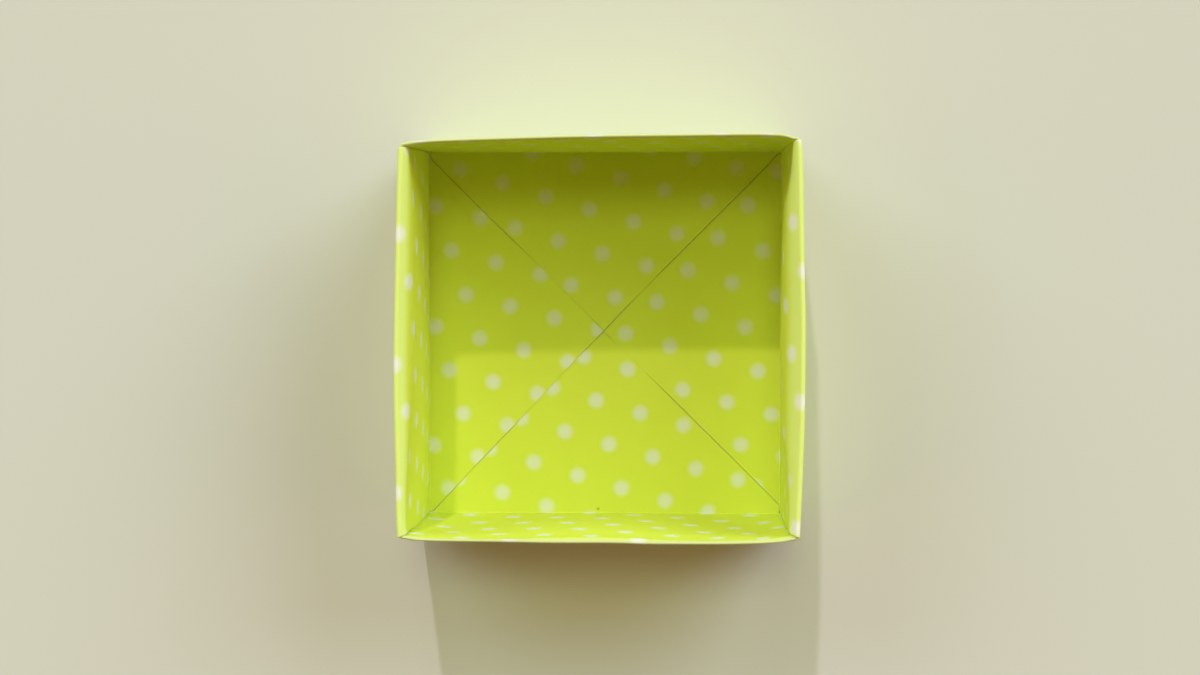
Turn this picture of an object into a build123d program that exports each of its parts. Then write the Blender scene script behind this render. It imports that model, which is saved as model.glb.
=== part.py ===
# A lidless square box folded from one square sheet of paper, without cuts or glue.
#
# The sheet's four corners meet on the base. Two opposite walls are plain: two layers
# with a fold between them at the rim. The ends of their strips turn the corners and
# are tucked, as triangles, inside the two wrapped walls, which so have six layers.
# The frame: underside at z = 0, origin at its centre, wrapped walls towards +X and -X.

from math import cos, pi, sin, sqrt
import os

from build123d import *

# Driving dimensions, in millimetres
sheet_side = 200.0  # the square sheet before it is folded
paper_thickness = 0.12
wrap_gap = 0.18  # air between neighbouring layers in a wrapped wall
plain_gap = 0.50  # air between the two layers of a plain wall
wrap_bulge = 1.00  # how far a wrapped wall's outer layer springs out at mid-length
plain_bow = 1.20  # how far a plain wall's rim stands out at mid-length
crease_radius = 0.15  # inside radius of a right-angled crease
crease_thickness = 0.08  # the paper is pressed thinner where it is folded flat
flap_gap = 0.15  # air between the base and the four flaps that lie on it
seam_gap = 0.16  # between the edges of neighbouring flaps
corner_gap = 0.15  # between a wrapped wall's folded edge and the plain wall beside it

# How many flats stand for each round fold
rim_flats = 12
fold_flats = 4

# What follows from the folds: the base is half as wide as the sheet is across, and
# the walls are half as high as the base is wide.
base_side = sheet_side / (2 * sqrt(2))
half_base = base_side / 2
wall_height = base_side / 2
half_paper = paper_thickness / 2
half_crease = crease_thickness / 2

# Distances between the middles of neighbouring layers
wrap_pitch = paper_thickness + wrap_gap
plain_pitch = paper_thickness + plain_gap

# The three hairpins nested in a wrapped wall: the radius of each fold at the rim,
# and their common axis
tuck_radius = plain_pitch / 2
gusset_radius = tuck_radius + wrap_pitch
wrap_radius = gusset_radius + wrap_pitch
rim_axis_out = half_base - half_paper - wrap_radius
rim_axis_height = wall_height - half_paper - wrap_radius

# A plain wall's hairpin has the tuck's radius, and turns the corners about these axes
turn_radius = crease_radius + half_paper
plain_axis_out = half_base - half_paper - tuck_radius
turn_x = rim_axis_out - tuck_radius - turn_radius
turn_y = plain_axis_out - tuck_radius - turn_radius

# Half the length of a wrapped wall, up to where its folded edges begin
edge_radius = wrap_pitch / 2
wrap_half_length = (
    plain_axis_out - tuck_radius - half_paper - corner_gap - half_paper - edge_radius
)

# Heights at which the walls start, above the creases round the base and the flaps
crease_middle = crease_radius + half_paper
leg = paper_thickness
base_foot = half_paper + crease_middle + leg
flap_middle = 1.5 * paper_thickness + flap_gap
flap_foot = flap_middle + crease_middle + leg

# The tucked triangles end on lines that climb from the corners to mid-rim
diagonal_clearance = (edge_radius + half_paper) * sqrt(2)

UP = Vector(0, 0, 1)
wrapped_sides = [Vector(1, 0, 0), Vector(-1, 0, 0)]
plain_sides = [Vector(0, 1, 0), Vector(0, -1, 0)]


def wall_plane(outward, along=0.0):
    """The upright plane across a wall: x points outward and y up."""
    return Plane(origin=(0, 0, 0), x_dir=outward, z_dir=outward.cross(UP)).offset(along)


def rim_curve(axis_out, wide, high):
    """Points on half an ellipse, from a fold's outer side over the rim to its inner."""
    angles = [pi * step / rim_flats for step in range(rim_flats + 1)]
    return [
        (axis_out + wide * cos(angle), rim_axis_height + high * sin(angle))
        for angle in angles
    ]


def hairpin(axis_out, radius, foot_out, foot_in, spread=0.0, lean=0.0):
    """The section of two upright layers and the fold that joins them at the rim.

    spread moves the outer layer's top outward, which widens the fold, and lean moves
    the whole rim outward. The feet stay where they are.
    """
    axis_top = axis_out + lean + spread / 2
    wide = radius + spread / 2
    outer = axis_out + radius
    inner = axis_out - radius
    far_side = rim_curve(axis_top, wide + half_paper, radius + half_paper)
    near_side = rim_curve(axis_top, wide - half_paper, radius - half_paper)
    with BuildLine() as outline:
        Polyline(
            (outer - half_paper, foot_out),
            (outer + half_paper, foot_out),
            *far_side,
            (inner - half_paper, foot_in),
            (inner + half_paper, foot_in),
            *reversed(near_side),
            close=True,
        )
    make_face(outline.edges())


def flat_fold(radius, bulge):
    """The section of a layer folded flat back on itself: half a ring, of a few flats.

    bulge is 1 or -1, the side to which the fold stands out.
    """
    angles = [pi * step / fold_flats for step in range(fold_flats + 1)]
    far = radius + half_crease
    near = radius - half_crease
    with BuildLine() as outline:
        Polyline(
            *[(far * cos(angle), bulge * far * sin(angle)) for angle in angles],
            *[(near * cos(angle), bulge * near * sin(angle)) for angle in angles[::-1]],
            close=True,
        )
    make_face(outline.edges())


with BuildPart() as folded_sheet:
    # The triangles inside each wrapped wall: one hairpin in another, of which only
    # what lies above the two diagonals is paper.
    for outward in wrapped_sides:
        with BuildSketch(wall_plane(outward)):
            hairpin(rim_axis_out, gusset_radius, base_foot, base_foot)
        extrude(amount=wrap_half_length, both=True)
        with BuildSketch(wall_plane(outward)):
            hairpin(rim_axis_out, tuck_radius, base_foot, base_foot)
        extrude(amount=turn_y, both=True)
    with BuildSketch(Plane.YZ):
        with BuildLine():
            Polyline(
                (-half_base - diagonal_clearance, 0),
                (half_base + diagonal_clearance, 0),
                (0, wall_height + diagonal_clearance),
                close=True,
            )
        make_face()
    extrude(amount=half_base, both=True, mode=Mode.SUBTRACT)

    # The crease along each diagonal, where the gusset folds back to become the tuck
    diagonal_low = half_base + diagonal_clearance - wrap_half_length
    diagonal_length = (rim_axis_height - diagonal_low) * sqrt(2)
    for outward in wrapped_sides:
        for end in (1, -1):
            crease_start = (
                outward.X * (rim_axis_out + tuck_radius + edge_radius),
                end * wrap_half_length,
                diagonal_low,
            )
            with BuildSketch(
                Plane(origin=crease_start, x_dir=(1, 0, 0), z_dir=(0, -end, 1))
            ):
                flat_fold(edge_radius, -end)
            extrude(amount=diagonal_length)

    # The outer and inner layers of each wrapped wall, lofted through three sections
    for outward in wrapped_sides:
        for along, spread in (
            (-wrap_half_length, 0.0),
            (0.0, wrap_bulge),
            (wrap_half_length, 0.0),
        ):
            with BuildSketch(wall_plane(outward, along)):
                hairpin(rim_axis_out, wrap_radius, base_foot, flap_foot, spread)
        loft()

    # The folded edge at each end of a wrapped wall: up, over the rim and down again
    edge_out = gusset_radius + edge_radius
    for outward in wrapped_sides:
        for end in (1, -1):
            with BuildLine(wall_plane(outward, end * wrap_half_length)) as edge_path:
                Line(
                    (rim_axis_out + edge_out, base_foot),
                    (rim_axis_out + edge_out, rim_axis_height),
                )
                CenterArc((rim_axis_out, rim_axis_height), edge_out, 0, 180)
                Line(
                    (rim_axis_out - edge_out, rim_axis_height),
                    (rim_axis_out - edge_out, flap_foot),
                )
            with BuildSketch(Plane(origin=edge_path.line @ 0, x_dir=(1, 0, 0), z_dir=UP)):
                flat_fold(edge_radius, wall_plane(outward).z_dir.Y * end)
            sweep(path=edge_path.wire())

    # The plain walls, lofted between the corners
    for outward in plain_sides:
        for along, lean in ((-turn_x, 0.0), (0.0, plain_bow), (turn_x, 0.0)):
            with BuildSketch(wall_plane(outward, along)):
                hairpin(plain_axis_out, tuck_radius, base_foot, flap_foot, 0.0, lean)
        loft()

    # Each plain wall's strip turns the corner and becomes the tuck
    for outward in plain_sides:
        for end in (1, -1):
            with BuildSketch(wall_plane(outward, end * turn_x)):
                hairpin(plain_axis_out, tuck_radius, 0.0, base_foot)
            turn_origin = outward * turn_y + outward.cross(UP) * end * turn_x
            revolve(axis=Axis(turn_origin, UP), revolution_arc=-90 * end)

    # The base and the crease that stands each wall up
    for outward, length in (
        (wrapped_sides[0], wrap_half_length),
        (plain_sides[0], turn_x),
    ):
        with BuildSketch(wall_plane(outward)):
            edge = half_base - half_paper
            with BuildLine():
                FilletPolyline(
                    (-edge, base_foot),
                    (-edge, half_paper),
                    (edge, half_paper),
                    (edge, base_foot),
                    radius=crease_middle,
                )
            trace(line_width=paper_thickness)
        extrude(amount=length, both=True)
    with BuildSketch():
        with GridLocations(2 * turn_x, 2 * turn_y, 2, 2):
            Circle(half_base - turn_y)
    extrude(amount=paper_thickness)

    # The crease at the foot of each inner layer, and the corner of the sheet that lies
    # on the base. A plain wall's corner is trimmed where a wrapped wall stands on it.
    wrap_flap_out = rim_axis_out - wrap_radius - crease_middle - leg
    plain_flap_out = plain_axis_out - tuck_radius - crease_middle - leg
    apex = seam_gap / sqrt(2)
    for outward, flap_out, half_width, length in (
        (wrapped_sides[0], wrap_flap_out, wrap_flap_out, wrap_half_length),
        (wrapped_sides[1], wrap_flap_out, wrap_flap_out, wrap_half_length),
        (plain_sides[0], plain_flap_out, wrap_flap_out - seam_gap, turn_x),
        (plain_sides[1], plain_flap_out, wrap_flap_out - seam_gap, turn_x),
    ):
        foot_out = flap_out + leg + crease_middle
        with BuildSketch(wall_plane(outward)):
            with BuildLine():
                FilletPolyline(
                    (flap_out, flap_middle),
                    (foot_out, flap_middle),
                    (foot_out, flap_foot),
                    radius=crease_middle,
                )
            trace(line_width=paper_thickness)
        extrude(amount=length, both=True)
        flap_level = (0, 0, flap_middle - half_paper)
        with BuildSketch(Plane(origin=flap_level, x_dir=outward, z_dir=UP)):
            with BuildLine():
                Polyline(
                    (apex, 0),
                    (flap_out, flap_out - apex),
                    (flap_out, apex - flap_out),
                    close=True,
                )
            make_face()
            Rectangle(2 * flap_out, 2 * half_width, mode=Mode.INTERSECT)
        extrude(amount=paper_thickness)

folded_sheet.part.label = "folded_sheet"

os.makedirs("parts", exist_ok=True)
export_step(folded_sheet.part, "parts/folded_sheet.step")
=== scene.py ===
# %% [markdown]
# # A box folded from one square of dotted paper
#
# The CAD part is the fixed frame: its box, its origin and its one node. This script
# folds the same sheet again as a fine surface, prints it, lights it and sets the
# camera. All shapes are worked out in millimetres and put into Blender in metres.

import bpy
import numpy as np
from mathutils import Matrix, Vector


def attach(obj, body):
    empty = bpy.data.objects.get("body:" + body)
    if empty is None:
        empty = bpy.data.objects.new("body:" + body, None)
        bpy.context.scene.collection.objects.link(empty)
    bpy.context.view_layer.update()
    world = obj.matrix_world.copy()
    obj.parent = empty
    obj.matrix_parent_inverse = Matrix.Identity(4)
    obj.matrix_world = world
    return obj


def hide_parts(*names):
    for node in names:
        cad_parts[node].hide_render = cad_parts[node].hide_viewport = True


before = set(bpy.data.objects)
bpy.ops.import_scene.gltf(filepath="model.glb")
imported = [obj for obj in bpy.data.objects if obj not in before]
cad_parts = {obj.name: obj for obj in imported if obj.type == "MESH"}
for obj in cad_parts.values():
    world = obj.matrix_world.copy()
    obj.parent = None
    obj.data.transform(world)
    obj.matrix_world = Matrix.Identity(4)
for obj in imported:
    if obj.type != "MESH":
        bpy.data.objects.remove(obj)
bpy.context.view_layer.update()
MM = 0.001

# %% [markdown]
# ## The sheet and its fold lines
#
# A real box of this kind is one square sheet. Laid flat with its corners towards +X,
# -X, +Y and -Y, its fold lines run at one, two and three units from the middle, where
# a unit is an eighth of the sheet's diagonal: the foot of the walls, their rim, and
# the foot of the layers inside. Two numbers, the place on the flat sheet, say which
# bit of paper is meant, so the whole box can be one function of those two numbers.
#
# The surface is a grid on the flat sheet. It could be even, but folds are tight and
# panels are nearly flat, so the grid's lines crowd round the folds and stand far
# apart between them. The spacing reads the same from either end of half the diagonal,
# and so the sheet's slanting edges run exactly from node to node.

# %% Grid lines on the flat sheet
SHEET_SIDE = 200.0
UNIT = SHEET_SIDE / (4 * np.sqrt(2))
PAPER = 0.12
PANEL_STEPS = 14
# Nodes nearer than this to a line count as on it
NEARLY = 1e-4
# How far the grid's lines stand from a fold: at a crease, on the flap, and at a rim
near_crease = np.array([0.1, 0.2, 0.3, 0.45, 0.8, 1.3])
near_flap = np.array([0.1, 0.2, 0.3, 0.45, 0.7, 1.0, 1.35, 1.8, 2.4, 3.2])
near_rim = np.array(
    [0.1, 0.2, 0.3, 0.42, 0.56, 0.72, 0.9, 1.1, 1.35, 1.65, 2.0, 2.4, 2.9, 3.5, 4.2, 5.0]
)


def both_sides(before, after):
    """Offsets on the two sides of a fold, and the fold itself."""
    return np.concatenate([-before[::-1], [0.0], after])


def sheet_lines():
    """Distances from the sheet's middle at which the grid has its lines: even steps
    across the panels, and the offsets above round each fold."""
    wide, narrow, flat = near_rim[-1], near_crease[-1], near_flap[-1]
    parts = [
        np.linspace(0, UNIT - flat, PANEL_STEPS),
        UNIT + both_sides(near_flap, near_crease),
        np.linspace(UNIT + narrow, 2 * UNIT - wide, PANEL_STEPS),
        2 * UNIT + both_sides(near_rim, near_rim),
        np.linspace(2 * UNIT + wide, 3 * UNIT - narrow, PANEL_STEPS),
        3 * UNIT + both_sides(near_crease, near_flap),
        np.linspace(3 * UNIT + flat, 4 * UNIT, PANEL_STEPS),
    ]
    half = np.unique(np.round(np.concatenate(parts), 6))
    return np.concatenate([-half[:0:-1], half])


lines = sheet_lines()
sheet_x, sheet_y = np.meshgrid(lines, lines, indexing="ij")
on_sheet = np.abs(sheet_x) + np.abs(sheet_y) < 4 * UNIT + NEARLY
print(len(lines), "lines each way,", int(on_sheet.sum()), "nodes on the sheet")

# %% [markdown]
# ## The shape of the walls
#
# Springy paper never folds into flat walls. Seen from above, each rim has its own
# line: the two plain rims swing out between the corners, and the two wrapped ones
# bow like a barrel. Inside, some stretches swell towards the middle of the box and
# some lean out. A cloth simulation would find such shapes, but not those of this one
# box. So each line is given by a few places read off the photo, and a smooth curve
# through them.

# %% Smooth curves and easing
def through(points, at):
    """A smooth curve through a few points: between two of them a cubic, whose slope at
    each point is the harmonic mean of the slopes beside it, or level where those
    differ in sign. So it never swings past its points."""
    x, y = np.array(points, float).T
    step = np.diff(y) / np.diff(x)
    product = step[1:] * step[:-1]
    mean = 2 * product / np.where(product > 0, step[1:] + step[:-1], 1)
    slope = np.concatenate([step[:1], np.where(product > 0, mean, 0), step[-1:]])
    at = np.clip(at, x[0], x[-1])
    i = np.clip(np.searchsorted(x, at, side="right") - 1, 0, len(x) - 2)
    gap = x[i + 1] - x[i]
    u = (at - x[i]) / gap
    return (
        (2 * u**3 - 3 * u**2 + 1) * y[i]
        + (u**3 - 2 * u**2 + u) * gap * slope[i]
        + (3 * u**2 - 2 * u**3) * y[i + 1]
        + (u**3 - u**2) * gap * slope[i + 1]
    )


def straight_through(points, at):
    """Straight lines from point to point."""
    x, y = np.array(points, float).T
    return np.interp(at, x, y)


def ease(value, low, high):
    """0 below low, 1 above high, and a smooth S between them."""
    u = np.clip((value - low) / (high - low), 0, 1)
    return u * u * (3 - 2 * u)


hill = [(0, 0), (2, 1), (4, 0)]
print("a quarter, half and three quarters over a hill:", through(hill, np.array([1, 2, 3])))

# %% Rim lines and wall sections
# Levels of the paper's middle, in the base and in the flaps that lie on it
FLOOR_LEVEL = PAPER / 2
FLAP_LEVEL = 0.33
# Radius of the creases at the foot of a wall
BEND = 0.21
# Heights for which a wall's inner line and its rim line are given
SHOULDER = 28.5
RIM_HEIGHT = 34.8
# How far out a wall's outer and inner layers stand at their feet
FOOT_OUT = 35.295
FOOT_IN = {"right": 33.66, "left": 33.475, "top": 34.675, "bottom": 34.3}
side_sign = {"right": 1, "left": -1, "top": 1, "bottom": -1}

# Each wall by place along it: the rim's outermost line; the inner face at the
# shoulder, below the rim; and how far the inside swells inward at mid-height
walls = {
    "right": dict(
        outer=[(-34.5, 35.35), (-30, 35.53), (-22, 35.86), (-12, 36.15), (2, 36.23),
               (14, 35.98), (25, 35.77), (33, 35.55), (35, 35.35)],
        inner=[(-34.5, 33.55), (-26, 33.5), (-16, 32.6), (-8, 32.4), (0, 32.3),
               (6, 32.4), (15, 32.6), (23, 32.8), (30, 33.85), (35, 34.0)],
        swell=[(-34.5, 0.0), (0, 0.1), (35, 0.0)],
    ),
    "left": dict(
        outer=[(-34.8, 35.31), (-31, 35.53), (-23, 35.61), (-7, 35.89), (2, 35.81),
               (9, 35.63), (22.6, 35.31), (30.6, 35.11), (34.5, 34.96)],
        inner=[(-34.5, 33.85), (-30, 33.95), (-20.6, 33.6), (-10, 33.05), (2, 32.75),
               (12, 32.65), (25, 32.85), (34.5, 33.4)],
        swell=[(-34.5, 0.1), (-31, 0.3), (-23, 0.55), (-14, 0.7), (0, 0.6),
               (14, 0.65), (23, 0.6), (34.5, 0.1)],
    ),
    "top": dict(
        outer=[(-34, 34.67), (-33, 34.92), (-27, 35.32), (-16, 35.68), (-5.4, 35.96),
               (4.4, 36.1), (15, 36.2), (26, 36.3), (30, 36.3), (32.5, 36.07),
               (34.3, 35.5)],
        inner=[(-34, 34.05), (-27, 34.65), (-16, 35.0), (4, 35.4), (26, 35.6),
               (30, 35.6), (32.5, 35.4), (34.3, 34.85)],
        swell=[(-34, -0.1), (-20, 0.2), (0, 0.45), (20, 0.25), (34, -0.1)],
    ),
    "bottom": dict(
        outer=[(-34, 34.85), (-32.3, 35.15), (-26, 35.3), (-18, 35.34), (-7, 35.5),
               (1, 35.46), (11, 35.64), (21, 35.62), (29, 35.44), (33, 35.1),
               (34.5, 34.7)],
        inner=[(-34, 34.3), (-28, 34.75), (-20, 34.85), (-12, 34.7), (-4, 34.45),
               (2, 34.5), (10, 34.8), (18, 35.0), (24, 34.9), (28, 34.8),
               (34.5, 34.0)],
        swell=[(-34, -0.2), (-28, -0.45), (-20, -0.4), (-13, -0.1), (-5, 0.2),
               (3, 0.25), (10, 0.15), (16, -0.1), (20, -0.4), (28, -0.45),
               (34, -0.2)],
    ),
}
print("places read along each rim:", {side: len(walls[side]["outer"]) for side in walls})

# %% Unevenness and the two layers of a wall
# How the outer layer leaves its foot: below 1 at once, above 1 slowly
RIM_POWER = 1.4
# Three sines of unequal length: how deep each is, its lengths along the wall and up
# it, and how much of a wall's start it takes
waves = [(0.05, 5.1, 13, 1.0), (0.035, 2.9, -7, 2.3), (0.02, 1.7, 5, 4.1)]
# Where the sines start on each wall's outer layer, so that no two are alike, and how
# much later on its inner one
wave_start = {"right": 5, "left": 4, "top": 3, "bottom": 6}
INNER_LATER = 3


def wave(along, height, start):
    """A gentle unevenness, as hand-folded paper has: the sum of the sines above."""
    return sum(
        depth * np.sin(along / length + height / rise + share * start)
        for depth, length, rise, share in waves
    )


def outer_layer(side, along, height):
    """How far out the outer layer's middle stands: the foot's place, moving to the
    rim's line as a power of the height."""
    up = np.clip(height / RIM_HEIGHT, 0, 1)
    rim = through(walls[side]["outer"], along) - PAPER / 2
    shape = FOOT_OUT + (rim - FOOT_OUT) * up**RIM_POWER
    return shape + wave(along, height, wave_start[side]) * np.sin(np.pi * up)


def inner_layer(side, along, height):
    """How far out the inner layer's middle stands: straight from the foot to the
    shoulder, less a swelling that is greatest at mid-height."""
    wall = walls[side]
    up = np.clip(height / SHOULDER, 0, 1)
    shoulder = through(wall["inner"], along) + PAPER / 2
    straight = FOOT_IN[side] + (shoulder - FOOT_IN[side]) * up
    swell = through(wall["swell"], along) * 4 * up * (1 - up)
    uneven = wave(along, height, INNER_LATER + wave_start[side]) * np.sin(np.pi * up)
    return straight - swell - uneven


def thickness(side, along):
    """Between the middles of a wall's outermost and innermost layers, at the rim."""
    return outer_layer(side, along, RIM_HEIGHT) - inner_layer(side, along, SHOULDER)


for side in walls:
    thick = thickness(side, np.array([-30.0, 0.0, 30.0]))
    print(side, "rim thickness in mm:", np.round(thick + PAPER, 2))

# %% [markdown]
# ## Up the wall, over the rim and down again
#
# Cut across, a wall is a hairpin. A half circle would be the simplest way over the
# rim, but a creased fold is tight only at the crease: from there the inner layer
# comes down on a slant and straightens slowly. So the curve is a small arc followed
# by a large one, measured along the paper, and each dot of the print stays as far
# from the fold as it is on the flat sheet.

# %% The hairpin over a rim
# Half the paper in a crease of a quarter turn
CREASE_HALF = BEND * np.pi / 4
# The part of the half turn over a rim that the inner layer takes slowly
RELAX = np.radians(45)
# Between the middles of neighbouring layers
PITCH = 0.15
# For a wrapped and a plain wall: the radius of the tight fold, and its centre's level
WRAP_FOLD, WRAP_LEVEL = 0.45, 34.82
PLAIN_FOLD, PLAIN_LEVEL = 0.2, 34.74


def hairpin(climb, thick, radius, level):
    """From the distance climbed along the paper: the outer layer's share of the place,
    the height, and the heights at which to ask the outer and the inner layer.

    Over the rim the paper turns by 180 degrees less RELAX on the fold's radius, and by
    RELAX on the radius that makes up the wall's thickness. The paper's length is spread
    evenly over this path."""
    tight = radius * (1 + np.cos(RELAX))
    wide = np.maximum((thick - tight) / (1 - np.cos(RELAX)), radius)
    whole = tight + wide * (1 - np.cos(RELAX))
    foot_out, foot_in = FLOOR_LEVEL + BEND, FLAP_LEVEL + BEND
    shoulder = level + (radius - wide) * np.sin(RELAX)
    leg_out, leg_in = level - foot_out, shoulder - foot_in
    fold, arc = radius * (np.pi - RELAX), wide * RELAX
    total = leg_out + fold + arc + leg_in
    run = (climb - CREASE_HALF) * total / (2 * UNIT - 2 * CREASE_HALF)
    turned = np.clip((run - leg_out) / radius, 0, np.pi - RELAX)
    left = np.clip(RELAX - (run - leg_out - fold) / wide, 0, RELAX)
    past_fold = run > leg_out + fold
    inward = np.where(
        past_fold,
        tight + wide * (np.cos(left) - np.cos(RELAX)),
        radius * (1 - np.cos(turned)),
    )
    height = np.where(
        past_fold, shoulder + wide * np.sin(left), level + radius * np.sin(turned)
    )
    height = np.where(run < leg_out, foot_out + np.maximum(run, 0), height)
    down = foot_in + np.maximum(total - run, 0)
    height = np.where(run > leg_out + fold + arc, down, height)
    asked_out = np.where(run < leg_out, height, level)
    asked_in = np.where(run > leg_out + fold + arc, height, shoulder)
    return 1 - inward / whole, height, asked_out, asked_in


across_rim = hairpin(np.linspace(0, 2 * UNIT, 9), 1.0, PLAIN_FOLD, PLAIN_LEVEL)[1]
print("heights on the way over a rim 1 mm thick:", np.round(across_rim, 1))


# %% The creases at the foot
def creases(climb, height, out):
    """Bends the foot of a wall: below the first fold the paper runs in flat under the
    box, and past the last fold it runs in flat over the base. Quarter circles join
    them to the wall."""
    low = np.clip((climb + CREASE_HALF) / (2 * CREASE_HALF), 0, 1) * np.pi / 2
    top = np.clip((climb - 2 * UNIT + CREASE_HALF) / (2 * CREASE_HALF), 0, 1) * np.pi / 2
    bent_low = climb < CREASE_HALF
    bent_top = climb > 2 * UNIT - CREASE_HALF
    height = np.where(bent_low, FLOOR_LEVEL + BEND * (1 - np.cos(low)), height)
    height = np.where(bent_top, FLAP_LEVEL + BEND * (1 - np.sin(top)), height)
    out = np.where(bent_low, out - BEND * (1 - np.sin(low)), out)
    out = np.where(bent_top, out - BEND * (1 - np.cos(top)), out)
    return height, out


crease_heights = creases(np.array([-CREASE_HALF, 0.0]), np.zeros(2), np.zeros(2))[0]
print("height where a crease begins and at its middle:", np.round(crease_heights, 3))

# %% [markdown]
# ## The corners
#
# At each corner the paper between two walls has to go somewhere. Here it is wrapped:
# the end of a wrapped wall folds back on itself, and the strip of the plain wall
# turns the corner and is tucked between the layers. So a wrapped wall has six layers
# and a plain one has two. Near the base all of them run together in the one corner
# point. No two corners came out alike: the outer edge of a wrapped wall ends short of
# the plain wall's face or covers it, and inside a slit stays open, more or less.
#
# Four separate walls pushed through each other would look much the same from afar, but
# not at the slits, where light gets between the layers. So each strip is carried on
# past its corner, the wrapped one round a folded edge and the plain one round a bend.

# %% Layers of the corners
# Height over which the layers fan out from the one corner point
FLARE = 7.0
# Radius on which a plain wall's strip turns the corner: at its foot and in its inner
# layer, and higher up in its outer one
TURN_IN, TURN_OUT = 0.21, 0.8
# Where a wrapped wall's folded edge stands at its foot, and half the paper it takes
EDGE_FOOT, EDGE_HALF = 35.05, 0.2356
# How far along a wall its line is asked for at a corner: by the wall beside it, and
# by its own strip
ASKED_BESIDE, ASKED_OWN = 33.5, 33.9
# For each corner: where the wrapped wall's outer edge ends, and the slit inside
corners = {
    ("left", "top"): (33.75, 0.10),
    ("right", "top"): (35.0, 0.06),
    ("left", "bottom"): (34.55, 0.22),
    ("right", "bottom"): (34.3, 0.4),
}
print("outer edges of the wrapped walls end at", [stop for stop, slit in corners.values()])


# %% The strip of a wrapped wall
def wrapped_strip(side, end_side, across, heights):
    """Plan places on a wrapped wall's strip, for its outer and its inner layer.

    The strip runs along the wall to its end, makes a half turn of one layer's pitch,
    and runs back. For each layer it returns the place out, the place along and the
    length run on the paper."""
    found = []
    end, here = side_sign[end_side], side_sign[side]
    outer_stop, slit = corners[side, end_side]
    straight = UNIT - EDGE_HALF
    turn = np.clip((across - straight) / (2 * EDGE_HALF), 0, 1) * np.pi
    back = np.maximum(across - straight - 2 * EDGE_HALF, 0)
    for layer, inward, height in zip((outer_layer, inner_layer), (-1, 1), heights):
        if layer is outer_layer:
            free = ease(height, 0, FLARE)
            gap = PITCH * free
            stop = EDGE_FOOT + (outer_stop - PITCH / 2 - EDGE_FOOT) * free
        else:
            room = inner_layer(end_side, here * ASKED_BESIDE, height) - PAPER - slit
            gap = np.full_like(height, PITCH)
            stop = room - PITCH / 2
        run = np.where(across < straight, across * stop / straight, stop)
        along = run + gap / 2 * np.sin(turn) - back
        out = layer(side, end * along, height) + inward * gap * (1 - np.cos(turn)) / 2
        length = np.where(across < straight, run, stop + across - straight)
        found.append((out, along, length))
    return found


three_places, three_levels = np.array([34.0, UNIT, 37.0]), np.full(3, SHOULDER)
edge_places = wrapped_strip("left", "top", three_places, (three_levels, three_levels))
print("along the outer layer, up to its folded edge and back:", edge_places[0][1].round(1))


# %% The strip of a plain wall
def plain_strip(side, end_side, across, heights):
    """Plan places on a plain wall's strip, for its outer and its inner layer.

    The strip runs along the wall, turns the corner on a quarter circle and runs on
    inside the wrapped wall, two pitches in. For each layer it returns the place out,
    the place along and the length run on the paper."""
    found = []
    end, here = side_sign[end_side], side_sign[side]
    for layer, inward, height in zip((outer_layer, inner_layer), (-2, 2), heights):
        if layer is outer_layer:
            free = ease(height, 0, FLARE)
            gap = inward * PITCH * free
            radius = TURN_IN + (TURN_OUT - TURN_IN) * free
        else:
            gap = np.full_like(height, inward * PITCH)
            radius = np.full_like(height, TURN_IN)
        wrap_line = layer(end_side, here * ASKED_BESIDE, height) + gap
        wall_line = layer(side, end * ASKED_OWN, height)
        centre_along, centre_out = wrap_line - radius, wall_line - radius
        turn_half = np.pi / 4 * radius
        straight = UNIT - turn_half
        turn = np.clip((across - straight) / (2 * turn_half), 0, 1) * np.pi / 2
        run = np.clip(across / straight, 0, 1) * centre_along
        beyond = np.maximum(across - straight - 2 * turn_half, 0)
        back = centre_out - beyond
        into = layer(end_side, here * np.maximum(back, 0), height) + gap
        out = np.where(beyond > 0, back, centre_out + radius * np.cos(turn))
        out = np.where(across < straight, layer(side, end * run, height), out)
        along = np.where(beyond > 0, into, centre_along + radius * np.sin(turn))
        along = np.where(across < straight, run, along)
        length = np.where(across < straight, run, centre_along + across - straight)
        found.append((out, along, length))
    return found


turn_places = plain_strip("top", "left", three_places, (three_levels, three_levels))
print("out along the outer layer, before its turn and past it:", turn_places[0][0].round(1))

# %% [markdown]
# ## The flaps on the base
#
# The four corners of the sheet lie on the base and meet in the middle, a little off
# its centre. Their edges nearly touch: along the seams the gap comes and goes, and
# each flap has settled a little differently, so its edges throw a hairline of shadow.
# Dark lines could be painted for the seams, but they would stay dark in any light. So
# the gaps are real, and the sheet's edge is drawn to the seams' own lines.

# %% Seams between the flaps
# Where the four tips meet
MEETING = (-0.02, 0.54)
# The four seams, from the meeting point to the corner, straight from place to place
seams = {
    ("right", "top"): [MEETING, (5.84, 6.74), (10.84, 11.76), (23.34, 24.24),
                       (28.34, 29.29), (32.74, 33.89), (33.45, 34.47)],
    ("left", "top"): [MEETING, (-1.16, 1.82), (-9.5, 10.1), (-12.2, 13.0),
                      (-16.16, 16.69), (-23.66, 24.04), (-33.0, 33.4),
                      (-33.25, 34.47)],
    ("right", "bottom"): [MEETING, (0.84, -0.48), (3.34, -2.95), (9.59, -8.9),
                          (18.34, -17.59), (24.59, -23.74), (33.2, -32.3),
                          (33.42, -33.0), (33.45, -34.09)],
    ("left", "bottom"): [MEETING, (-4.91, -4.36), (-17.41, -17.78), (-23.66, -24.28),
                         (-29.91, -30.96), (-32.7, -33.95), (-33.25, -34.12)],
}
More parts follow.
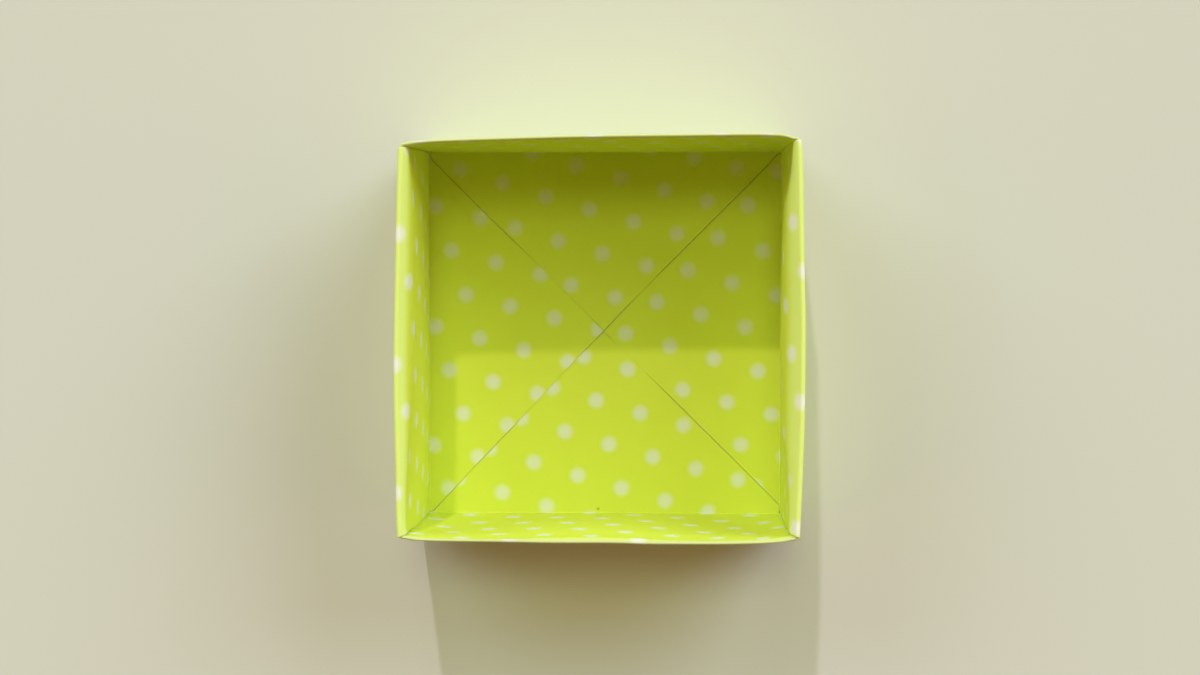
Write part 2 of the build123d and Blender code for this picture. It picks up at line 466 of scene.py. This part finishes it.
# The gap's width along each seam, by distance from the middle of the box
seam_gaps = {
    ("right", "top"): [(0, 0.24), (5.5, 0.22), (7, 0.03), (9.5, 0.03), (11, 0.18),
                       (34, 0.2)],
    ("left", "top"): [(0, 0.03), (14, 0.03), (16, 0.08), (18, 0.18), (24, 0.15),
                      (34, 0.12)],
    ("right", "bottom"): [(0, 0.03), (8.5, 0.0), (10, 0.12), (11, 0.2),
                          (22, 0.2), (26, 0.14), (34, 0.18)],
    ("left", "bottom"): [(0, 0.22), (2.5, 0.15), (5, 0.05), (8, 0.03), (16, 0.04),
                         (17.5, 0.16), (21, 0.16), (24, 0.12), (28, 0.06), (30, 0.15),
                         (34, 0.2)],
}
print("widest gap between flaps in mm:", max(w for g in seam_gaps.values() for _, w in g))

# %% A flap
# How far each flap's tip stands up from the base, and back from the meeting point
flap_lift = {"top": 0.17, "right": 0.04, "bottom": 0.05, "left": 0.15}
TIP_BACK = 0.09
# The least distance from the tip that has a width, and the one at which the gap is open
TIP_POINT, GAP_OPEN = 0.01, 2.0
# A flap's ripple: how deep it is, and how far from the wall it has set in
RIPPLE, SETTLED = 0.03, 6.0
# The wall beside a flap's edge, by the flap's axis and the sign of the place along it
wall_beside = {(0, 1): "top", (0, -1): "bottom", (1, 1): "right", (1, -1): "left"}


def flap(side, to_tip, across, sign):
    """Outward place, place along and height of a flap, from the distance to its tip
    and the distance from its middle line, both on the paper.

    Across the flap the places run evenly from its middle to its edge, which is the
    seam less half the gap. The tip is lifted as the square of the distance, and two
    crossed sines make a ripple away from the wall."""
    axis = 0 if side in ("right", "left") else 1
    turned, start = side_sign[side], wave_start[side]
    foot = FOOT_IN[side] - BEND
    whole = UNIT - CREASE_HALF
    tip = turned * MEETING[axis] + TIP_BACK
    out = tip + to_tip * (foot - tip) / whole
    other = wall_beside[axis, sign]
    seam = (side, other) if axis == 0 else (other, side)
    points = [(turned * p[axis], p[1 - axis]) for p in seams[seam]]
    gap = straight_through(seam_gaps[seam], out) * np.clip(to_tip / GAP_OPEN, 0, 1)
    edge = straight_through(points, out) - sign * gap / 2
    middle = MEETING[1 - axis] * (1 - to_tip / whole)
    part = across / np.maximum(to_tip, TIP_POINT)
    along = middle + np.clip(part, 0, 1) * (edge - middle)
    raised = flap_lift[side] * np.clip(1 - to_tip / whole, 0, 1) ** 2
    ripple = RIPPLE * np.sin(out / 4 + start) * np.sin(along / 5 + start)
    uneven = (ripple + RIPPLE) * ease(whole - to_tip, 0, SETTLED)
    return turned * out, along, FLAP_LEVEL + raised + uneven


for side in flap_lift:
    tip_level = flap(side, np.array([0.0]), np.array([0.0]), 1)[2]
    print(side, "flap: its tip's level in mm is", np.round(tip_level, 2))

# %% [markdown]
# ## Folding the sheet
#
# Now each node of the flat grid is sent to its place in space. A node belongs to the
# base, to one of four strips that climb a wall and come down on the base again, or
# to one of four corners, where two strips meet along a diagonal crease.

# %% One strip, from the base up, over and down
# Half the paper over which the layers part at a wrapped wall's edge and at a plain
# wall's turn
EDGE_PARTS, TURN_PARTS = 0.24, 0.5


def fold_strip(side, end_side, climb, across, strip):
    """Folds the strip of one wall: out from the middle, along the wall, height, and
    the length run along the wall on the paper."""
    here, end = side_sign[side], side_sign[end_side]
    returned = np.clip(2 * UNIT - across, 0, ASKED_BESIDE)
    if strip is wrapped_strip:
        layers_in = ease(across, UNIT - EDGE_PARTS, UNIT + EDGE_PARTS)
        place_along = np.where(across < UNIT, np.minimum(across, ASKED_BESIDE), returned)
        thick = thickness(side, end * place_along)
        radius, level = WRAP_FOLD, WRAP_LEVEL
    else:
        turned = ease(across, UNIT - TURN_PARTS, UNIT + TURN_PARTS)
        layers_in = 2 * turned
        own = thickness(side, end * np.minimum(across, ASKED_OWN))
        beside = thickness(end_side, here * returned)
        thick = own + (beside - own) * turned
        radius = PLAIN_FOLD + (WRAP_FOLD - PLAIN_FOLD) * turned
        level = PLAIN_LEVEL + (WRAP_LEVEL - PLAIN_LEVEL) * turned
    thick = thick - 2 * PITCH * layers_in
    radius = radius - PITCH * layers_in
    share, height, asked_out, asked_in = hairpin(climb, thick, radius, level)
    (out_o, along_o, run_o), (out_i, along_i, run_i) = strip(
        side, end_side, across, (asked_out, asked_in)
    )
    out = share * out_o + (1 - share) * out_i
    along = share * along_o + (1 - share) * along_i
    run = share * run_o + (1 - share) * run_i
    height, out = creases(climb, height, out)
    return out, along, height, run


# %% One wall and its flap
# From before the last crease to past it, a wall's places become those of its flap
JOIN_BEFORE, JOIN_PAST = 1.0, 0.6


def fold_side(side, end_side, far, near, strip):
    """Folds a wall and its flap up to one corner, from the distances across its fold
    lines and along them. Returns places in space and places on the print."""
    axis = 0 if strip is wrapped_strip else 1
    here, end = side_sign[side], side_sign[end_side]
    climb = np.maximum(far, UNIT - CREASE_HALF) - UNIT
    out, along, height, run = fold_strip(side, end_side, climb, near, strip)
    place = np.zeros((len(far), 3))
    paper = np.zeros((len(far), 2))
    place[:, axis], place[:, 1 - axis], place[:, 2] = here * out, end * along, height
    paper[:, axis], paper[:, 1 - axis] = here * far, end * run
    to_tip = np.maximum(4 * UNIT - far, 0)
    flap_out, flap_along, flap_height = flap(side, to_tip, near, end)
    on_flap = far > 3 * UNIT + CREASE_HALF
    join = ease(far, 3 * UNIT - JOIN_BEFORE, 3 * UNIT + JOIN_PAST)
    place[:, 1 - axis] += (flap_along - place[:, 1 - axis]) * join
    place[on_flap, axis] = flap_out[on_flap]
    place[on_flap, 2] = flap_height[on_flap]
    foot = FOOT_IN[side] - PAPER / 2
    paper[on_flap, axis] = (here * (foot + 3 * UNIT) - flap_out)[on_flap]
    paper[:, 1 - axis] = np.where(on_flap, place[:, 1 - axis], paper[:, 1 - axis])
    return place, paper


middle_line = fold_side("right", "top", lines[lines > UNIT], 0 * lines[lines > UNIT],
                        wrapped_strip)[0]
print("the right wall's highest place on its middle line:", middle_line[:, 2].max().round(2))


# %% The fold as one function of the place on the sheet
# Half the width of a diagonal crease
DIAGONAL_HALF = 0.25


def fold(x, y):
    """The place in space of each node of the sheet, and its place on the print.

    Each quarter of the sheet is folded as the wrapped wall's and as the plain wall's,
    and a node follows the one on its side of the diagonal crease."""
    a, b = np.abs(x), np.abs(y)
    place = np.zeros(x.shape + (3,))
    paper = np.zeros(x.shape + (2,))
    edge = UNIT - CREASE_HALF
    reach = (FOOT_OUT - BEND) / edge
    for side_x, side_y in corners:
        sx, sy = side_sign[side_x], side_sign[side_y]
        here = (np.sign(x) * sx >= 0) & (np.sign(y) * sy >= 0)
        ah, bh = a[here], b[here]
        x_place, x_paper = fold_side(side_x, side_y, ah, bh, wrapped_strip)
        y_place, y_paper = fold_side(side_y, side_x, bh, ah, plain_strip)
        base = np.stack([sx * ah, sy * bh], -1)
        level = np.full((len(ah), 1), FLOOR_LEVEL)
        base_place = np.concatenate([base * reach, level], -1)
        share = ease((bh - ah) / np.sqrt(2), -DIAGONAL_HALF, DIAGONAL_HALF)[:, None]
        on_base = ((ah <= edge) & (bh <= edge))[:, None]
        wall_place = x_place + (y_place - x_place) * share
        wall_paper = x_paper + (y_paper - x_paper) * share
        place[here] = np.where(on_base, base_place, wall_place)
        paper[here] = np.where(on_base, base, wall_paper)
    return place, paper


place, paper_place = fold(sheet_x, sheet_y)
spans = np.ptp(place[on_sheet], axis=0)
print("folded surface spans in mm:", np.round(spans, 2))

# %% [markdown]
# ## From grid to mesh
#
# Four neighbouring nodes make a face, and along the sheet's slanting edges and the
# diagonal creases three make a triangle. The order of the nodes points each face to
# the printed side. The paper could be modelled as two surfaces, but a Solidify
# modifier gives it its thickness from one, with the pale back and the cut edges as a
# second material.

# %% Faces of the sheet
def sheet_faces():
    """Quads between grid lines, and triangles where a diagonal cuts them."""
    n = len(lines)
    number = np.full((n, n), -1)
    number[on_sheet] = np.arange(on_sheet.sum())
    low_nodes = np.arange(n - 1)
    i, j = [k.ravel() for k in np.meshgrid(low_nodes, low_nodes, indexing="ij")]
    cells = np.stack(
        [number[i, j], number[i, j + 1], number[i + 1, j + 1], number[i + 1, j]], 1
    )
    whole = (cells >= 0).all(1)
    rising = np.abs(lines[i] - lines[j]) < NEARLY
    falling = np.abs(lines[i + 1] + lines[j]) < NEARLY
    past_x = np.minimum(np.abs(lines[i]), np.abs(lines[i + 1])) >= UNIT - NEARLY
    past_y = np.minimum(np.abs(lines[j]), np.abs(lines[j + 1])) >= UNIT - NEARLY
    split_up = whole & rising & past_x & past_y
    split_down = whole & falling & past_x & past_y
    quads = cells[whole & ~split_up & ~split_down]
    triangles = [
        cells[split_up][:, [0, 1, 2]], cells[split_up][:, [0, 2, 3]],
        cells[split_down][:, [0, 1, 3]], cells[split_down][:, [1, 2, 3]],
    ]
    cut = cells[(cells >= 0).sum(1) == 3]
    triangles.append(cut[cut >= 0].reshape(-1, 3))
    return quads, np.concatenate(triangles)


quads, triangles = sheet_faces()
print(len(quads), "quads and", len(triangles), "triangles on the printed side")


# %% Arrays into a mesh
def build_mesh(name, points, quads, triangles, maps):
    """Puts arrays of points and faces into a mesh, with its UV maps."""
    corner = np.concatenate([quads.ravel(), triangles.ravel()])
    starts = np.concatenate(
        [np.arange(len(quads)) * 4, len(quads) * 4 + np.arange(len(triangles)) * 3]
    )
    mesh = bpy.data.meshes.new(name)
    mesh.vertices.add(len(points))
    mesh.vertices.foreach_set("co", (points * MM).ravel())
    mesh.loops.add(len(corner))
    mesh.loops.foreach_set("vertex_index", corner)
    mesh.polygons.add(len(starts))
    mesh.polygons.foreach_set("loop_start", starts)
    mesh.update(calc_edges=True)
    mesh.validate()
    for map_name, values in maps.items():
        layer = mesh.uv_layers.new(name=map_name)
        layer.data.foreach_set("uv", values[corner].ravel())
    mesh.polygons.foreach_set("use_smooth", np.ones(len(starts), bool))
    edge_of = np.zeros(len(mesh.loops), int)
    mesh.loops.foreach_get("edge_index", edge_of)
    cut = np.bincount(edge_of, minlength=len(mesh.edges)) == 1
    mesh.attributes.new("sharp_edge", "BOOLEAN", "EDGE").data.foreach_set("value", cut)
    mesh.update()
    print(int(cut.sum()), "edges along the cut of the sheet, kept sharp")
    return mesh


# %% [markdown]
# ## The print
#
# The dots stand in rows parallel to the sheet's edges, every second row moved by half
# a step. Two steps, one along each of two directions, reach every dot, so the place
# on the print is counted in those steps and each whole number is a dot. The sheet was
# folded a little off its lines, so on each flap the rows start at their own dot and
# are turned by a fraction of a degree, which the print's own coordinates take up.

# %% Dot coordinates
# The two steps in millimetres on the flat sheet, and where the base's count starts
step_one = np.array([8.397, 2.349])
step_two = np.array([2.476, 8.369])
to_steps = np.linalg.inv(np.array([step_one, step_two]).T)
BASE_START = np.array([-0.126, 0.235])
# For each side: the place of one dot on the sheet, and the rows' turn in radians
dot_places = {
    "top": ((-2.761, 116.973), -0.0025),
    "right": ((117.721, 18.102), -0.0034),
    "bottom": ((4.483, -133.601), -0.0071),
    "left": ((-116.409, 21.924), 0.013),
}
# How far a flap's middle is from the sheet's, and between which places the base's
# count goes over into the flap's
FLAP_MIDDLE = 3.3 * UNIT
BASE_ENDS, FLAP_BEGINS = 0.2 * UNIT, 1.95 * UNIT
print("the two steps in mm:", np.round(np.hypot(*np.array([step_one, step_two]).T), 2))


def dot_steps(paper, sheet):
    """Counts places in dot steps: the base's count, and towards each rim more and more
    of the count that fits that side's own flap. The two counts are matched to whole
    steps at the flap's middle, so that a dot stays a dot on the way."""
    base = paper @ to_steps.T - BASE_START
    result = base.copy()
    for side, (dot, turn) in dot_places.items():
        away = paper - np.array(dot)
        c, s = np.cos(turn), np.sin(turn)
        turned = np.stack([c * away[:, 0] - s * away[:, 1],
                           s * away[:, 0] + c * away[:, 1]], 1)
        count = turned @ to_steps.T
        axis = 0 if side in ("right", "left") else 1
        reach = side_sign[side] * sheet[:, axis]
        middle = np.zeros((1, 2))
        middle[0, axis] = side_sign[side] * FLAP_MIDDLE
        at_middle = middle @ to_steps.T - BASE_START
        whole = np.round(at_middle - (middle - np.array(dot)) @ to_steps.T)
        result += ease(reach, BASE_ENDS, FLAP_BEGINS)[:, None] * (count + whole - base)
    return result


# %% The folded sheet as an object
# Millimetres of paper to one unit of the sheet's own UV map
SHEET_SCALE = 100
flat_nodes = np.stack([sheet_x[on_sheet], sheet_y[on_sheet]], 1)
steps = dot_steps(paper_place[on_sheet], flat_nodes)
mesh = build_mesh(
    "paper_box", place[on_sheet], quads, triangles,
    {"print": steps, "sheet": flat_nodes / SHEET_SCALE},
)
paper_box = bpy.data.objects.new("paper_box", mesh)
bpy.context.scene.collection.objects.link(paper_box)
body = paper_box.modifiers.new("thickness", "SOLIDIFY")
body.thickness = PAPER * MM
body.offset = 0.0
body.use_even_offset = False
body.material_offset = 1
body.material_offset_rim = 1
print(len(mesh.vertices), "points in the folded sheet")

# %% [markdown]
# ## Printed paper
#
# The printed side is a strong lime with pale dots whose edges bleed a little into the
# fibres. A painted picture could carry them, but a few nodes on the sheet's own map
# stay sharp at any distance. Paper is matt with a slight sheen, so its roughness is
# high, and a fine bump gives it its tooth.

# %% Node helpers
def node(tree, kind, inputs=None, **settings):
    """Adds a node, sets its properties and fills or links its inputs."""
    made = tree.nodes.new(kind)
    for name, value in settings.items():
        setattr(made, name, value)
    for key, value in (inputs or {}).items():
        if isinstance(value, bpy.types.NodeSocket):
            tree.links.new(value, made.inputs[key])
        else:
            made.inputs[key].default_value = value
    return made


def maths(tree, operation, *values):
    """The result of a Math node."""
    inputs = dict(enumerate(values))
    return node(tree, "ShaderNodeMath", inputs, operation=operation).outputs[0]


def vector_maths(tree, operation, *values, result=0):
    """The result of a Vector Math node: result is "Value" where that is a number."""
    inputs = dict(enumerate(values))
    return node(tree, "ShaderNodeVectorMath", inputs, operation=operation).outputs[result]


def mixed(tree, share, first, second):
    """A colour between two: the first where share is 0, the second where it is 1."""
    inputs = {0: share, 6: first, 7: second}
    return node(tree, "ShaderNodeMix", inputs, data_type="RGBA").outputs[2]


def smooth_range(tree, value, low, high, at_low=0.0, at_high=1.0):
    """A smooth S from at_low, at the value low and below it, to at_high, at high."""
    inputs = {"Value": value, "From Min": low, "From Max": high, "To Min": at_low,
              "To Max": at_high}
    made = node(tree, "ShaderNodeMapRange", inputs, interpolation_type="SMOOTHSTEP")
    return made.outputs[0]


def new_material(name, **sockets):
    """A material with one Principled shader whose constant sockets are given."""
    material = bpy.data.materials.new(name)
    material.use_nodes = True
    shader = material.node_tree.nodes["Principled BSDF"]
    for key, value in sockets.items():
        shader.inputs[key.replace("_", " ")].default_value = value
    return material, material.node_tree, shader


# %% Fibres, the same on both sides of the paper
FIBRE_SCALE = 260.0
# How strong the bump is on each side, and its height in metres
TOOTH_PRINTED, TOOTH_BACK = 0.12, 0.15
TOOTH_HEIGHT = 0.00005


def fibres(tree):
    """The place on the flat sheet, and a fine noise there."""
    at = node(tree, "ShaderNodeUVMap", uv_map="sheet").outputs["UV"]
    inputs = {"Vector": at, "Scale": FIBRE_SCALE, "Detail": 4.0}
    return at, node(tree, "ShaderNodeTexNoise", inputs).outputs["Fac"]


def add_tooth(tree, shader, fibre, strength):
    """Lets the fibres stand up a little, as a bump."""
    inputs = {"Height": fibre, "Strength": strength, "Distance": TOOTH_HEIGHT}
    bump = node(tree, "ShaderNodeBump", inputs).outputs[0]
    tree.links.new(bump, shader.inputs["Normal"])


# %% Lime ink and pale dots
LIME = (0.655, 0.75, 0.078, 1)
LIME_DEEP = (0.612, 0.70, 0.060, 1)
CLOUD_SCALE = 9.0
# The dots' radius and the half width of their soft edge, in millimetres, and how far
# the fibres draw that edge in and out
DOT_RADIUS = 1.32
DOT_BLEED = 0.75
RAGGED = 0.3

printed, tree, shader = new_material(
    "printed_lime_paper", Roughness=0.65, Specular_IOR_Level=0.2
)
sheet_uv, fibre = fibres(tree)
cloud = node(
    tree, "ShaderNodeTexNoise", {"Vector": sheet_uv, "Scale": CLOUD_SCALE, "Detail": 5.0}
).outputs["Fac"]
ink = mixed(tree, cloud, LIME, LIME_DEEP)

# From the count of steps to the distance from the nearest dot, in millimetres
counted = node(tree, "ShaderNodeUVMap", uv_map="print").outputs["UV"]
shifted = vector_maths(tree, "ADD", counted, (0.5, 0.5, 0))
fraction = vector_maths(tree, "FRACTION", shifted)
local = vector_maths(tree, "SUBTRACT", fraction, (0.5, 0.5, 0))
across, upward = [
    vector_maths(tree, "DOT_PRODUCT", local, (one, two, 0), result="Value")
    for one, two in zip(step_one, step_two)
]
from_middle = node(tree, "ShaderNodeCombineXYZ", {0: across, 1: upward}).outputs[0]
from_dot = vector_maths(tree, "LENGTH", from_middle, result="Value")
ragged = maths(tree, "MULTIPLY_ADD", fibre, RAGGED, -RAGGED / 2)
dot_edge = maths(tree, "ADD", from_dot, ragged)
dot = smooth_range(
    tree, dot_edge, DOT_RADIUS - DOT_BLEED, DOT_RADIUS + DOT_BLEED, 1.0, 0.0
)
print("dots of", 2 * DOT_RADIUS, "mm,", np.round(np.hypot(*step_one), 2), "mm apart")

# %% [markdown]
# ## Worn folds and painted sheen
#
# Along a sharp fold the ink cracks and the paler paper shows. It could be painted by
# hand, but the folds run at known places on the flat sheet, so the wear is a band of
# soft edges beside each fold: wide over the wrapped rims, narrow over the plain ones.
# The same bands also carry painted sheen: the rims, and the slopes inside the wrapped
# walls, are made paler than the light alone makes them.

# %% Wear and painted sheen along the rims
# Where the ink is worn and painted sheen is laid on: from outside the rim's fold to
# inside it, in millimetres, it sets in between the first two places and fades between
# the last two. The wrapped walls' wide inner reach is mostly painted sheen.
wear_and_sheen_places = {
    "left": (-1.2, -0.7, 1.1, 3.4),
    "right": (-1.2, -0.7, 1.8, 5.2),
    "plain": (-0.6, -0.2, 0.2, 1.3),
}
# How much the fibres move the band, in millimetres
WEAR_AND_SHEEN_RAGGED = 0.6


def wear_and_sheen_band(distance, places):
    """1 in a band along a fold, where the ink is worn and painted sheen lies, 0 away from
    it, with soft edges.
    """
    start, full, fade, end = [p / SHEET_SCALE for p in places]
    sets_in = smooth_range(tree, distance, start, full)
    fades = smooth_range(tree, distance, fade, end, 1.0, 0.0)
    return maths(tree, "MULTIPLY", sets_in, fades)


# How far past each rim's fold a place on the paper is, in units of the sheet's map
fold_at = maths(
    tree, "MULTIPLY_ADD", fibre, -WEAR_AND_SHEEN_RAGGED / SHEET_SCALE,
    (2 * UNIT + WEAR_AND_SHEEN_RAGGED / 2) / SHEET_SCALE,
)
sheet_place = node(tree, "ShaderNodeSeparateXYZ", {0: sheet_uv}).outputs
leftward = maths(tree, "MULTIPLY", sheet_place[0], -1.0)
to_plain = maths(tree, "ABSOLUTE", sheet_place[1])
past_right = maths(tree, "SUBTRACT", sheet_place[0], fold_at)
past_left = maths(tree, "SUBTRACT", leftward, fold_at)
past_plain = maths(tree, "SUBTRACT", to_plain, fold_at)
wear_and_sheen = maths(
    tree, "MAXIMUM", wear_and_sheen_band(past_right, wear_and_sheen_places["right"]),
    wear_and_sheen_band(past_left, wear_and_sheen_places["left"]),
)
wear_and_sheen_plain = wear_and_sheen_band(past_plain, wear_and_sheen_places["plain"])
print("worn bands in mm:", wear_and_sheen_places)

# %% Colours of the print, of its wear and of painted sheen
# Paler ink over the rims: partly cracked ink, partly painted sheen. The plain rims' ink is
# also made duller, painted shade that holds the lit bottom rim down.
CRACKED_INK_AND_SHEEN = (0.72, 0.86, 0.24, 1)
CRACKED_INK_AND_SHEEN_PLAIN = (0.57, 0.62, 0.28, 1)
DOT_WHITE = (0.70, 0.73, 0.60, 1)
# The wrapped rims' dots are painted whiter, a painted highlight. The plain rims' dots are
# painted a little darker, painted shade.
DOT_RIM_HIGHLIGHT = (0.84, 0.86, 0.80, 1)
DOT_RIM_PLAIN_SHADED = (0.64, 0.66, 0.56, 1)
# One small dark speck in the paper, at the foot of the bottom wall: its place on the
# sheet's map, the distances between which it fades, and how much of it shows
SPECK = (0.33, 0.34, 0.02, 1)
SPECK_PLACE = (-0.012, -1.069, 0.0)
SPECK_FADE = (0.001, 0.0045)
SPECK_SHARE = 0.75

# Over the rims the ink and the dots take the colours of wear and painted sheen above
ink = mixed(tree, wear_and_sheen, ink, CRACKED_INK_AND_SHEEN)
ink = mixed(tree, wear_and_sheen_plain, ink, CRACKED_INK_AND_SHEEN_PLAIN)
white = mixed(tree, wear_and_sheen, DOT_WHITE, DOT_RIM_HIGHLIGHT)
white = mixed(tree, wear_and_sheen_plain, white, DOT_RIM_PLAIN_SHADED)
colour = mixed(tree, dot, ink, white)
from_speck = vector_maths(tree, "DISTANCE", sheet_uv, SPECK_PLACE, result="Value")
speck = smooth_range(tree, from_speck, *SPECK_FADE, SPECK_SHARE, 0.0)
colour = mixed(tree, speck, colour, SPECK)
tree.links.new(colour, shader.inputs["Base Color"])
add_tooth(tree, shader, fibre, TOOTH_PRINTED)
print(len(tree.nodes), "nodes in the printed side")

# %% The pale back and the cut edges
# The back's pale lime tint is partly ink showing through and partly painted shade: it
# darkens the seams between the flaps, where the back shows in the gaps.
BACK_SHADE = (0.66, 0.73, 0.30, 1)
BACK_LIGHT = (0.74, 0.79, 0.40, 1)
back, back_tree, back_shader = new_material("pale_paper_back", Roughness=0.7)
_, back_fibre = fibres(back_tree)
back_colour = mixed(back_tree, back_fibre, BACK_SHADE, BACK_LIGHT)
back_tree.links.new(back_colour, back_shader.inputs["Base Color"])
add_tooth(back_tree, back_shader, back_fibre, TOOTH_BACK)
paper_box.data.materials.append(printed)
paper_box.data.materials.append(back)

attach(paper_box, "root")
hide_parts("folded_sheet")
print("materials:", [m.name for m in paper_box.data.materials])

# %% [markdown]
# ## Floor, light and camera
#
# The box stands on a plain pale floor. A window lies beyond the top wall, so that wall
# throws its shadow over half of the base, and the shadow's edge is a little soft. One
# lamp could throw it, but a window is wide: two broad lamps stand for its right and
# left parts, a steep one for its top and a weak low one for its foot. Two weak warm
# lamps at the sides and a warm fill stand for light that the room gives back. Their
# strengths and slight tints were fitted to colours read off the photo. The camera and
# all gloss see a plain pale backdrop instead of the fill. The camera looks straight
# down, from over the upper right part of the box.

# %% Floor
FLOOR_HALF = 1.5
# The floor lies a hundredth of a millimetre under the box
FLOOR_DROP = 0.00001
FLOOR_PAINT = (0.6, 0.6, 0.6, 1)
floor_mesh = bpy.data.meshes.new("floor")
floor_mesh.from_pydata(
    [(-FLOOR_HALF, -FLOOR_HALF, -FLOOR_DROP), (FLOOR_HALF, -FLOOR_HALF, -FLOOR_DROP),
     (FLOOR_HALF, FLOOR_HALF, -FLOOR_DROP), (-FLOOR_HALF, FLOOR_HALF, -FLOOR_DROP)],
    [], [(0, 1, 2, 3)],
)
floor = bpy.data.objects.new("floor", floor_mesh)
bpy.context.scene.collection.objects.link(floor)
floor_paint, _, _ = new_material("pale_floor", Base_Color=FLOOR_PAINT, Roughness=0.8)
floor.data.materials.append(floor_paint)
print("floor of", 2 * FLOOR_HALF, "m a side")

# %% Lamps
# For each: the direction it shines from, its strength, its width in degrees, its tint
lamps = {
    "window": ((-5.1, 39.1, 34.9), 0.88, 1.6, (1.0, 0.90, 1.0)),
    "window_right": ((1.0, 1.0, 0.8), 1.87, 40, (0.86, 1.0, 1.0)),
    "window_left": ((-1.0, 1.0, 0.8), 1.13, 40, (0.80, 1.0, 0.9)),
    "window_top": ((0.0, 1.0, 3.1), 0.66, 16, (0.83, 1.0, 0.5)),
    "window_low": ((0.0, 1.0, 0.125), 0.2, 2.5, (0.9, 1.0, 1.0)),
    "side_right": ((1.0, 0.0, 0.6), 0.45, 40, (1.0, 0.78, 0.4)),
    "side_left": ((-1.0, 0.0, 0.6), 0.34, 40, (1.0, 0.66, 0.4)),
}


def sun(name, towards, strength, angle, colour):
    """A lamp without distance, shining from the direction given."""
    data = bpy.data.lights.new(name, "SUN")
    data.energy, data.angle, data.color = strength, np.radians(angle), colour
    lamp = bpy.data.objects.new(name, data)
    bpy.context.scene.collection.objects.link(lamp)
    direction = Vector(towards)
    lamp.rotation_euler = direction.to_track_quat("Z", "Y").to_euler()


for name, setting in lamps.items():
    sun(name, *setting)
print(len(lamps), "lamps")

# %% Fill and backdrop
WARM_FILL = (0.19, 0.095, 0.008, 1)
BACKDROP = (0.86, 0.86, 0.84, 1)
world = bpy.data.worlds.new("studio")
bpy.context.scene.world = world
world.use_nodes = True
sky = world.node_tree
background = sky.nodes["Background"]
path = node(sky, "ShaderNodeLightPath").outputs
seen = maths(sky, "MAXIMUM", path["Is Camera Ray"], path["Is Glossy Ray"])
seen = maths(sky, "MAXIMUM", seen, path["Is Transmission Ray"])
both = mixed(sky, seen, WARM_FILL, BACKDROP)
sky.links.new(both, background.inputs["Color"])
background.inputs["Strength"].default_value = 1.0
bpy.context.scene.view_settings.view_transform = "Standard"
print("fill", WARM_FILL[:3], "and backdrop", BACKDROP[:3])

# %% Camera
CAMERA_PLACE = (0.01274, 0.01564, 0.4157)
CAMERA_TARGET = (-0.00076, -0.00066, 0.0004)
# The focal length in pixels of a picture this wide, and the sensor in millimetres
FOCAL_PIXELS, PICTURE_WIDTH, SENSOR = 2182.0, 1200, 36.0
camera_data = bpy.data.cameras.new("camera")
camera_data.sensor_fit = "HORIZONTAL"
camera_data.sensor_width = SENSOR
camera_data.lens = SENSOR * FOCAL_PIXELS / PICTURE_WIDTH
camera_data.clip_start = 0.01
camera = bpy.data.objects.new("camera", camera_data)
bpy.context.scene.collection.objects.link(camera)
camera.location = CAMERA_PLACE
sight = Vector(CAMERA_PLACE) - Vector(CAMERA_TARGET)
backward = sight.normalized()
right = Vector((0, 1, 0)).cross(backward).normalized()
upright = backward.cross(right)
camera.rotation_euler = Matrix((right, upright, backward)).transposed().to_euler()
bpy.context.scene.camera = camera
print("lens in mm:", round(camera_data.lens, 2))
